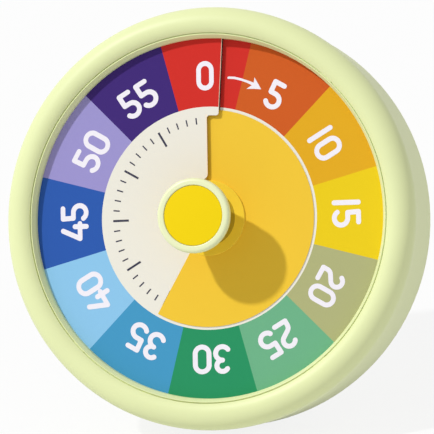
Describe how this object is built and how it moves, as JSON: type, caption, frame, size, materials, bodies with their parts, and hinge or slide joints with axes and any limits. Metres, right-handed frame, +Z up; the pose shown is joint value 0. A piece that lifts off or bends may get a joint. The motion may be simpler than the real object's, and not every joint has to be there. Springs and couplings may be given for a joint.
{
  "type": "visual countdown timer",
  "caption": "Round countdown timer whose coloured disc shrinks over a numbered dial as its centre knob runs down, with a fold-out stand at the back.",
  "frame": {"origin": "middle of the timer's footprint on the floor, with its stand open", "axes": "+Z up, the dial faces -Y and leans back 22 degrees, +X to the right of the dial seen from its front"},
  "size_m": [0.18, 0.1068, 0.178],
  "materials": {
    "case_lime": "fine moulded satin",
    "dial_white": "printed smooth sheet",
    "film_yellow": "smooth film",
    "knob_lime": "satin moulded",
    "knob_yellow": "satin moulded",
    "inner_white": "moulded",
    "movement_black": "moulded",
    "gear_plastic": "acetal",
    "screw_steel": "zinc plated",
    "arbor_brass": "turned",
    "spring_steel": "sprung strip",
    "magnet": "ground magnet with moulded pinion",
    "stator_iron": "stamped soft iron",
    "coil_copper": "enamelled winding",
    "board_green": "solder mask",
    "chip_black": "epoxy",
    "crystal_can": "drawn can",
    "buzzer_black": "moulded",
    "switch_black": "moulded",
    "cell_skin": "printed sleeve, bare of any mark",
    "contact_nickel": "nickel plated",
    "pad_rubber": "matt",
    "pin_steel": "drawn"
  },
  "bodies": {
    "case": {"front_bezel": "case_lime", "rear_case": "case_lime", "case_screws": "screw_steel", "retaining_ring": "case_lime", "dial_carrier": "inner_white", "carrier_screws": "screw_steel", "dial_sheet": "dial_white", "movement_front": "movement_black", "movement_cover": "movement_black", "movement_screws": "screw_steel", "stator": "stator_iron", "coil": "coil_copper", "circuit_board": "board_green", "board_screws": "screw_steel", "driver_chip": "chip_black", "crystal": "crystal_can", "buzzer": "buzzer_black", "switch_body": "switch_black", "battery_cell": "cell_skin", "battery_contact_minus": "contact_nickel", "battery_contact_plus": "contact_nickel", "stand_pin": "pin_steel"},
    "knob": {"knob_body": "knob_yellow", "knob_rim": "knob_lime", "drive_arbor": "arbor_brass", "clutch_spring": "spring_steel", "arbor_clip": "spring_steel"},
    "film": {"film_disc": "film_yellow", "film_hub": "film_yellow"},
    "minute_wheel": {"minute_wheel": "gear_plastic"},
    "intermediate_wheel": {"intermediate_wheel": "gear_plastic"},
    "second_wheel": {"second_wheel": "gear_plastic"},
    "step_wheel": {"step_wheel": "gear_plastic"},
    "rotor": {"rotor": "magnet"},
    "stand": {"stand_leg": "case_lime", "stand_foot_pad": "pad_rubber"},
    "battery_door": {"battery_door": "case_lime"},
    "volume_slider": {"volume_slider": "switch_black"}
  },
  "joints": [
    {"name": "knob_turn", "type": "hinge", "parent": "case", "child": "knob", "pos_m": [0, -0.01517, 0.09408], "axis": [0, -0.9272, 0.3746], "range_deg": [-150.2, 209.8]},
    {"name": "film_ride", "type": "slide", "parent": "knob", "child": "film", "axis": [0, -0.9272, 0.3746], "range_m": [-0.00111, 0.0008]},
    {"name": "rotor_spin", "type": "hinge", "parent": "case", "child": "rotor", "pos_m": [-0.00336, 0.00413, 0.09913], "axis": [0, -0.9272, 0.3746], "continuous": true},
    {"name": "step_turn", "type": "hinge", "parent": "case", "child": "step_wheel", "pos_m": [-0.00844, 0.00344, 0.09742], "axis": [0, -0.9272, 0.3746], "continuous": true},
    {"name": "second_turn", "type": "hinge", "parent": "case", "child": "second_wheel", "pos_m": [-0.01249, 0.00163, 0.09295], "axis": [0, -0.9272, 0.3746], "continuous": true},
    {"name": "intermediate_turn", "type": "hinge", "parent": "case", "child": "intermediate_wheel", "pos_m": [-0.0116, -0.00218, 0.08353], "axis": [0, -0.9272, 0.3746], "continuous": true},
    {"name": "minute_turn", "type": "hinge", "parent": "case", "child": "minute_wheel", "pos_m": [0, -0.01517, 0.09408], "axis": [0, -0.9272, 0.3746], "continuous": true},
    {"name": "stand_fold", "type": "hinge", "parent": "case", "child": "stand", "pos_m": [0, 0.02758, 0.10485], "axis": [1, 0, 0], "range_deg": [-34.8, 0]},
    {"name": "battery_door_swing", "type": "hinge", "parent": "case", "child": "battery_door", "pos_m": [-0.0515, 0.00874, 0.05476], "axis": [1, 0, 0], "range_deg": [-75, 0]},
    {"name": "volume_slide", "type": "slide", "parent": "case", "child": "volume_slider", "axis": [0, 0.3746, 0.9272], "range_m": [-0.0028, 0.0028]}
  ],
  "couplings": [
    {"joint": "film_ride", "follows": "knob_turn", "m_per_rad": -0.00030239},
    {"joint": "step_turn", "follows": "rotor_spin", "ratio": -0.2},
    {"joint": "second_turn", "follows": "rotor_spin", "ratio": 0.033333},
    {"joint": "intermediate_turn", "follows": "rotor_spin", "ratio": -0.0044444},
    {"joint": "minute_turn", "follows": "rotor_spin", "ratio": 0.00055556}
  ]
}
